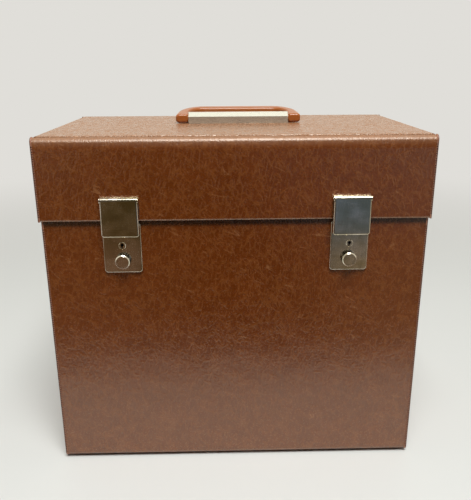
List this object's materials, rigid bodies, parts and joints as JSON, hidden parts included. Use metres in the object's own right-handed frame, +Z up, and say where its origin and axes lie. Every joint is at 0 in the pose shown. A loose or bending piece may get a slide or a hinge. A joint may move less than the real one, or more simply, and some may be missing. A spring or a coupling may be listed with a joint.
{
  "type": "record carrying case",
  "caption": "Upright carrying case for long-playing records, with a hinged lid, snap latches on the front and a folding handle on top.",
  "frame": {"origin": "on the table, under the middle of the lid's outline", "axes": "+X to the right as the latches are faced, +Y to the hinges at the back, +Z up"},
  "size_m": [0.36, 0.2236, 0.3468],
  "materials": {
    "leathercloth": "semi-gloss embossed grain",
    "welt": "semi-gloss, sewn",
    "board": "raw",
    "lining": "matte",
    "fibre": "smooth",
    "nickel": "polished nickel plate",
    "zinc_steel": "dull zinc plate",
    "spring_steel": "drawn wire",
    "aluminium": "satin",
    "tan_plastic": "glossy moulding"
  },
  "bodies": {
    "case": {"body_band_cover": "leathercloth", "body_lining": "lining", "body_front_board": "board", "body_back_board": "board", "body_bottom_board": "board", "body_left_board": "board", "body_right_board": "board", "body_left_cover": "leathercloth", "body_right_cover": "leathercloth", "body_left_welt": "welt", "body_right_welt": "welt", "rim_collar": "fibre", "feet": "nickel", "hinge_rivets_body": "nickel", "lock_rivets": "nickel", "hinge_body_leaf_left": "nickel", "hinge_pin_left": "nickel", "lock_plate_left": "nickel", "lock_case_left": "zinc_steel", "lock_backing_left": "zinc_steel", "lock_spring_left": "spring_steel", "hinge_body_leaf_right": "nickel", "hinge_pin_right": "nickel", "lock_plate_right": "nickel", "lock_case_right": "zinc_steel", "lock_backing_right": "zinc_steel", "lock_spring_right": "spring_steel"},
    "lid": {"lid_band_cover": "leathercloth", "lid_lining": "lining", "lid_front_board": "board", "lid_back_board": "board", "lid_top_board": "board", "lid_left_board": "board", "lid_right_board": "board", "lid_left_cover": "leathercloth", "lid_right_cover": "leathercloth", "lid_left_welt": "welt", "lid_right_welt": "welt", "hinge_rivets_lid": "nickel", "hasp_rivets": "nickel", "handle_channel": "aluminium", "handle_backing_strip": "zinc_steel", "handle_screws": "zinc_steel", "hinge_lid_leaf_left": "nickel", "hasp_plate_left": "nickel", "hasp_pin_left": "nickel", "hinge_lid_leaf_right": "nickel", "hasp_plate_right": "nickel", "hasp_pin_right": "nickel"},
    "handle": {"handle_loop": "tan_plastic"},
    "hasp_left": {"hasp_flap_left": "nickel", "hasp_catch_left": "zinc_steel"},
    "button_left": {"lock_button_left": "nickel", "lock_slide_left": "zinc_steel"},
    "key_left": {"key_plug_left": "nickel"},
    "hasp_right": {"hasp_flap_right": "nickel", "hasp_catch_right": "zinc_steel"},
    "button_right": {"lock_button_right": "nickel", "lock_slide_right": "zinc_steel"},
    "key_right": {"key_plug_right": "nickel"}
  },
  "joints": [
    {"name": "lid_hinge", "type": "hinge", "parent": "case", "child": "lid", "pos_m": [0, 0.10885, 0.2553], "axis": [-1, 0, 0], "range_deg": [0, 180]},
    {"name": "handle_swing", "type": "hinge", "parent": "lid", "child": "handle", "pos_m": [0.0053, 0.0102, 0.3372], "axis": [1, 0, 0], "range_deg": [0, 170]},
    {"name": "hasp_left_hinge", "type": "hinge", "parent": "lid", "child": "hasp_left", "pos_m": [-0.1054, -0.1094, 0.2756], "axis": [-1, 0, 0], "range_deg": [0, 150]},
    {"name": "button_left_slide", "type": "slide", "parent": "case", "child": "button_left", "axis": [-1, 0, 0], "range_m": [0, 0.004], "stiffness_N_per_m": 300, "springref_m": -0.004, "deforming": ["lock_spring_left"]},
    {"name": "key_left_turn", "type": "hinge", "parent": "case", "child": "key_left", "pos_m": [-0.1054, -0.1045, 0.2321], "axis": [0, 1, 0], "range_deg": [0, 90]},
    {"name": "hasp_right_hinge", "type": "hinge", "parent": "lid", "child": "hasp_right", "pos_m": [0.1054, -0.1094, 0.2756], "axis": [-1, 0, 0], "range_deg": [0, 150]},
    {"name": "button_right_slide", "type": "slide", "parent": "case", "child": "button_right", "axis": [1, 0, 0], "range_m": [0, 0.004], "stiffness_N_per_m": 300, "springref_m": -0.004, "deforming": ["lock_spring_right"]},
    {"name": "key_right_turn", "type": "hinge", "parent": "case", "child": "key_right", "pos_m": [0.1054, -0.1045, 0.2321], "axis": [0, -1, 0], "range_deg": [0, 90]}
  ]
}
